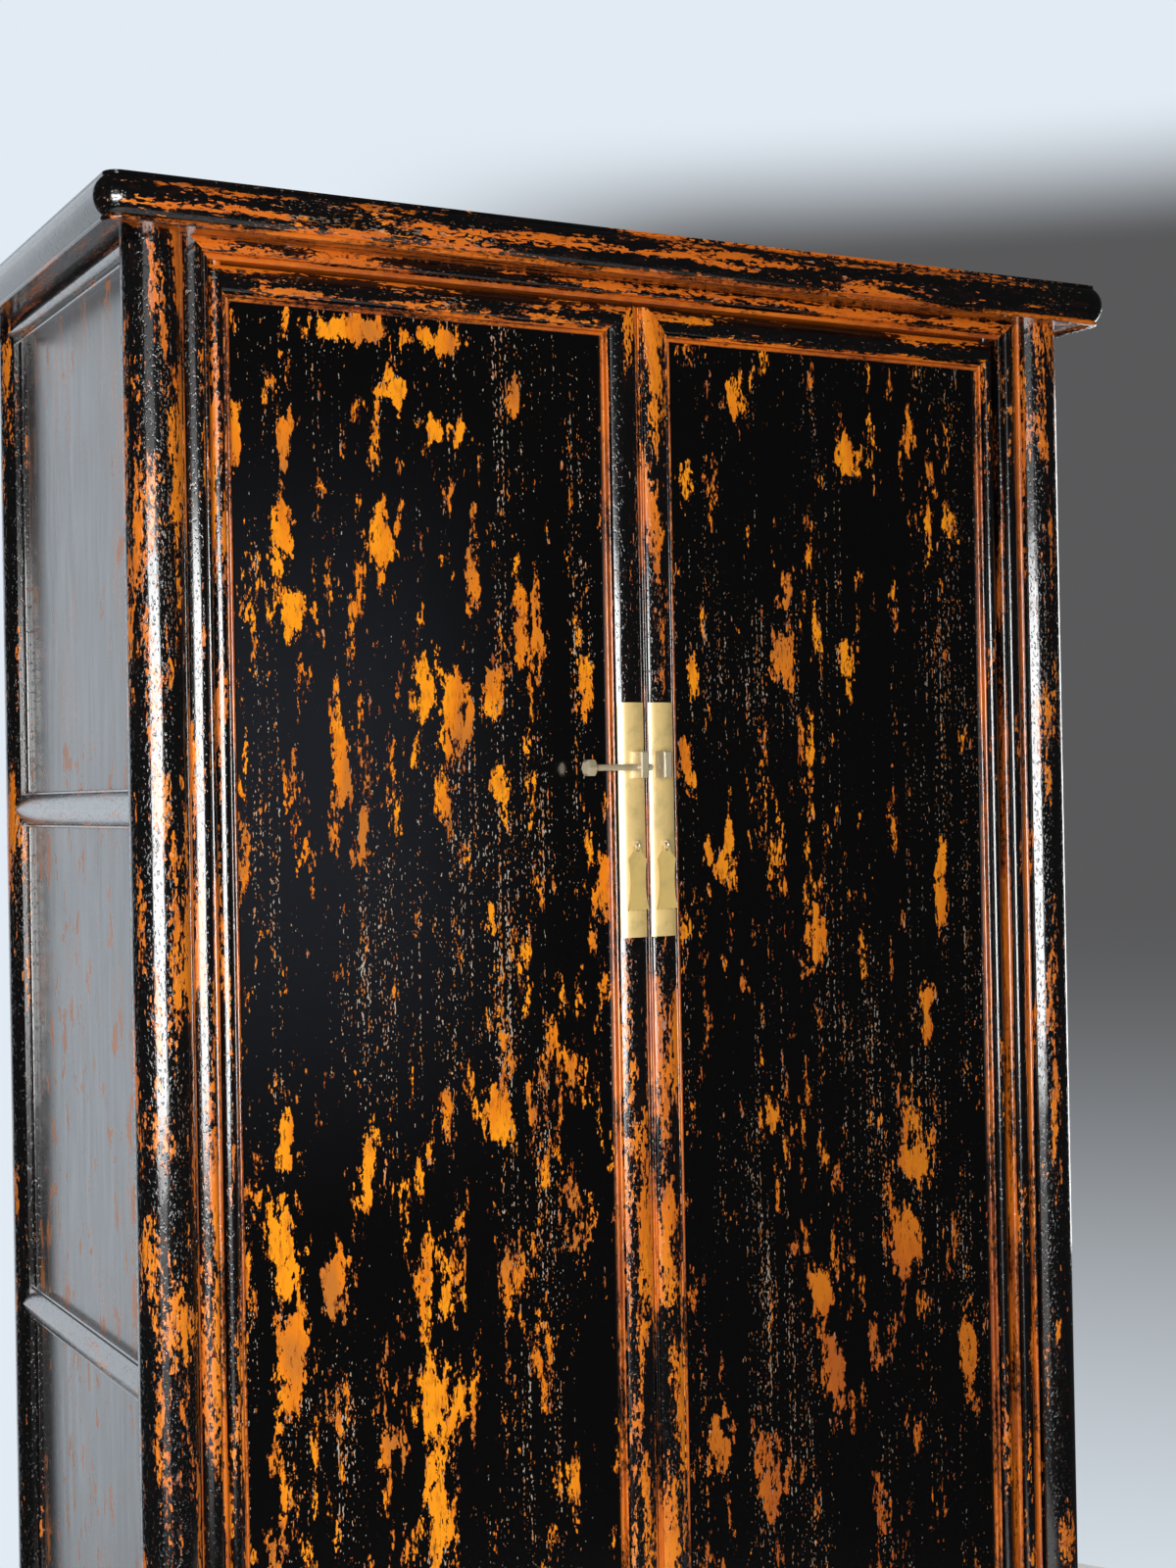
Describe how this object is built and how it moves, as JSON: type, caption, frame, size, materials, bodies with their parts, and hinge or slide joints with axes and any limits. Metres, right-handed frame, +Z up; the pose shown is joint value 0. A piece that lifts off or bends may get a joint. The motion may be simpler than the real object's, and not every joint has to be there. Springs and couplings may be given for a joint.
{
  "type": "two-door cabinet",
  "caption": "Tall black lacquered cabinet with a moulded cap, round posts, panelled sides, pivot-hung framed doors and a brass pin lock with pendant pulls",
  "frame": {"origin": "on the floor, under the middle of the bounding box", "axes": "+X to the cabinet's right as seen from the front, +Y from the doors to the back, +Z up"},
  "size_m": [1.068, 0.546, 1.8],
  "materials": {
    "black_lacquer": "worn gloss black lacquer over red-orange ground",
    "panel_lacquer": "satin brown-black lacquer rubbed along the grain",
    "inside_wood": "plain planed wood with a thin wash",
    "brass": "pale polished brass, lightly tarnished"
  },
  "bodies": {
    "carcass": {"cap_front_rail": "black_lacquer", "cap_back_rail": "black_lacquer", "cap_left_rail": "black_lacquer", "cap_right_rail": "black_lacquer", "cap_panel": "black_lacquer", "front_left_post": "black_lacquer", "front_right_post": "black_lacquer", "back_left_post": "black_lacquer", "back_right_post": "black_lacquer", "lintel": "black_lacquer", "sill": "black_lacquer", "left_jamb": "black_lacquer", "right_jamb": "black_lacquer", "left_top_rail": "black_lacquer", "left_upper_rail": "black_lacquer", "left_lower_rail": "black_lacquer", "left_bottom_rail": "black_lacquer", "right_top_rail": "black_lacquer", "right_upper_rail": "black_lacquer", "right_lower_rail": "black_lacquer", "right_bottom_rail": "black_lacquer", "left_upper_panel": "panel_lacquer", "left_middle_panel": "panel_lacquer", "left_lower_panel": "panel_lacquer", "right_upper_panel": "panel_lacquer", "right_middle_panel": "panel_lacquer", "right_lower_panel": "panel_lacquer", "back_top_rail": "inside_wood", "back_bottom_rail": "inside_wood", "back_panel": "inside_wood", "floor_board": "inside_wood", "upper_shelf": "inside_wood", "lower_shelf": "inside_wood", "front_apron": "black_lacquer", "front_left_spandrel": "black_lacquer", "front_right_spandrel": "black_lacquer", "left_apron": "black_lacquer", "right_apron": "black_lacquer", "back_apron": "black_lacquer"},
    "left_door": {"left_door_pivot_stile": "black_lacquer", "left_door_meeting_stile": "black_lacquer", "left_door_top_rail": "black_lacquer", "left_door_bottom_rail": "black_lacquer", "left_door_panel": "black_lacquer", "left_door_battens": "inside_wood", "left_lock_plate": "brass", "left_lock_lug": "brass", "left_pendant_eye": "brass"},
    "right_door": {"right_door_pivot_stile": "black_lacquer", "right_door_meeting_stile": "black_lacquer", "right_door_top_rail": "black_lacquer", "right_door_bottom_rail": "black_lacquer", "right_door_panel": "black_lacquer", "right_door_battens": "inside_wood", "right_lock_plate": "brass", "right_lock_lug": "brass", "right_pendant_eye": "brass"},
    "lock_pin": {"lock_pin": "brass"},
    "left_pendant": {"left_pendant": "brass"},
    "right_pendant": {"right_pendant": "brass"}
  },
  "joints": [
    {"name": "left_door_hinge", "type": "hinge", "parent": "carcass", "child": "left_door", "pos_m": [-0.416, -0.2095, 0.3], "axis": [0, 0, -1], "range_deg": [0, 90]},
    {"name": "right_door_hinge", "type": "hinge", "parent": "carcass", "child": "right_door", "pos_m": [0.416, -0.2095, 0.3], "axis": [0, 0, 1], "range_deg": [0, 90]},
    {"name": "lock_pin_slide", "type": "slide", "parent": "left_door", "child": "lock_pin", "axis": [1, 0, 0], "range_m": [0, 0.045]},
    {"name": "left_pendant_swing", "type": "hinge", "parent": "left_door", "child": "left_pendant", "pos_m": [-0.01575, -0.2241, 1.231], "axis": [-1, 0, 0], "range_deg": [0, 75]},
    {"name": "right_pendant_swing", "type": "hinge", "parent": "right_door", "child": "right_pendant", "pos_m": [0.01575, -0.2241, 1.231], "axis": [-1, 0, 0], "range_deg": [0, 75]}
  ]
}
